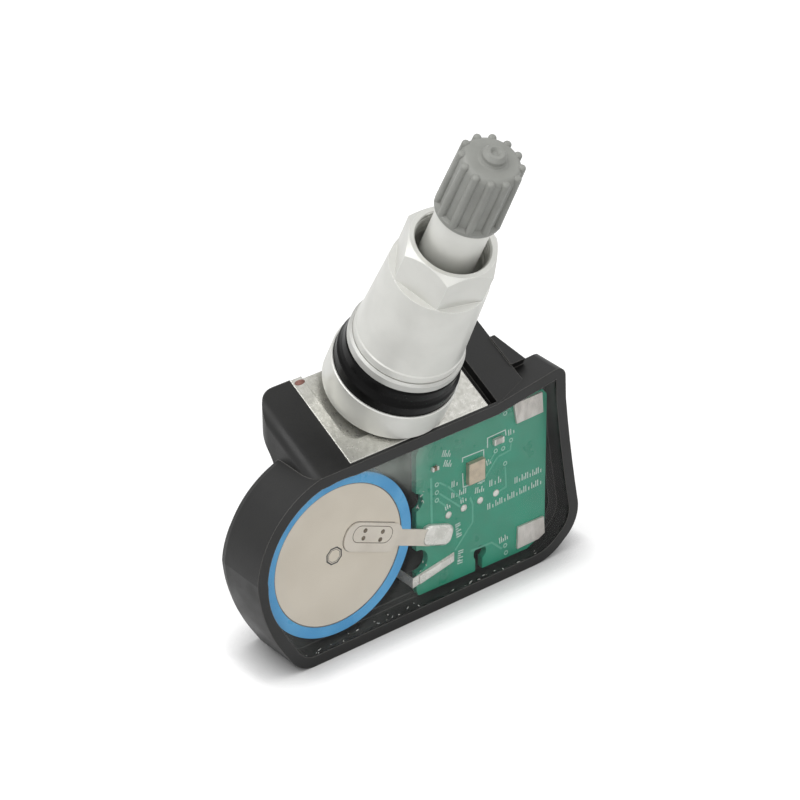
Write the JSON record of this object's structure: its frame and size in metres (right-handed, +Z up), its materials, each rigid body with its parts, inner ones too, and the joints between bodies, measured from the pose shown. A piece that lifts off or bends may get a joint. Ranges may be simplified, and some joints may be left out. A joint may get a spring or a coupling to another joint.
{
  "type": "tyre pressure sensor",
  "caption": "Wheel-mounted tyre pressure sensor: potted board and coin cell in a black moulded tray, clamped to a slanted metal valve stem with rubber grommet, collar nut and ribbed cap.",
  "frame": {"origin": "middle of the bounding box's lowest plane, on the long lower edge that the sensor stands on", "axes": "+Z up, the potted face looks to -Y, the cell is at -X and the antenna at +X; the valve stem leans to -Y"},
  "size_m": [0.0566, 0.036, 0.0788],
  "materials": {
    "housing_black": "fine moulded texture",
    "clear_resin": "clear, glossy",
    "board_green": "solder mask",
    "cell_face": "satin",
    "sleeve_blue": "film",
    "tab_metal": "plated",
    "solder": "satin",
    "crystal_lid": "satin",
    "inductor_body": "satin",
    "capacitor_body": "satin",
    "chip_black": "matte",
    "coil_body": "matte",
    "seal_rubber": "glossy",
    "plate_metal": "grainy plated",
    "stem_aluminium": "satin anodised",
    "nut_aluminium": "satin anodised",
    "screw_steel": "plated",
    "core_brass": "plain",
    "cap_grey": "matte"
  },
  "bodies": {
    "sensor": {"housing": "housing_black", "potting": "clear_resin", "circuit_board": "board_green", "coin_cell": "cell_face", "cell_sleeve": "sleeve_blue", "positive_tab": "tab_metal", "negative_tab": "tab_metal", "positive_solder": "solder", "negative_solder": "solder", "antenna_solder": "solder", "test_pads": "solder", "crystal": "crystal_lid", "chip_inductor": "inductor_body", "chip_capacitor": "capacitor_body", "sensor_chip": "chip_black", "port_seal": "seal_rubber", "wake_coil": "coil_body", "antenna_loop": "tab_metal", "foot_plate": "plate_metal", "valve_stem": "stem_aluminium", "stem_grommet": "seal_rubber", "retaining_screw": "screw_steel", "core_body": "core_brass", "core_seal": "seal_rubber", "core_spring": "screw_steel"},
    "washer": {"nut_washer": "nut_aluminium"},
    "nut": {"collar_nut": "nut_aluminium"},
    "seal": {"cap_seal": "seal_rubber"},
    "cap": {"valve_cap": "cap_grey"},
    "pin": {"core_pin": "core_brass", "core_poppet": "seal_rubber"}
  },
  "joints": [
    {"name": "nut_lift", "type": "slide", "parent": "sensor", "child": "washer", "axis": [0, -0.4586, 0.8886], "range_m": [0, 0.013]},
    {"name": "nut_turn", "type": "hinge", "parent": "washer", "child": "nut", "pos_m": [-0.0003, 0.00814, 0.0337], "axis": [0, -0.4586, 0.8886], "range_deg": [0, 4684]},
    {"name": "cap_lift", "type": "slide", "parent": "sensor", "child": "seal", "axis": [0, -0.4586, 0.8886], "range_m": [0, 0.00833]},
    {"name": "cap_turn", "type": "hinge", "parent": "seal", "child": "cap", "pos_m": [-0.0003, 0.00814, 0.0337], "axis": [0, -0.4586, 0.8886], "range_deg": [0, 3780]},
    {"name": "core_press", "type": "slide", "parent": "sensor", "child": "pin", "axis": [0, 0.4586, -0.8886], "range_m": [0, 0.001], "stiffness_N_per_m": 500, "springref_m": -0.0001, "deforming": ["core_spring"]}
  ],
  "couplings": [
    {"joint": "nut_turn", "follows": "nut_lift", "rad_per_m": 6283.2},
    {"joint": "cap_turn", "follows": "cap_lift", "rad_per_m": 7913.3}
  ]
}
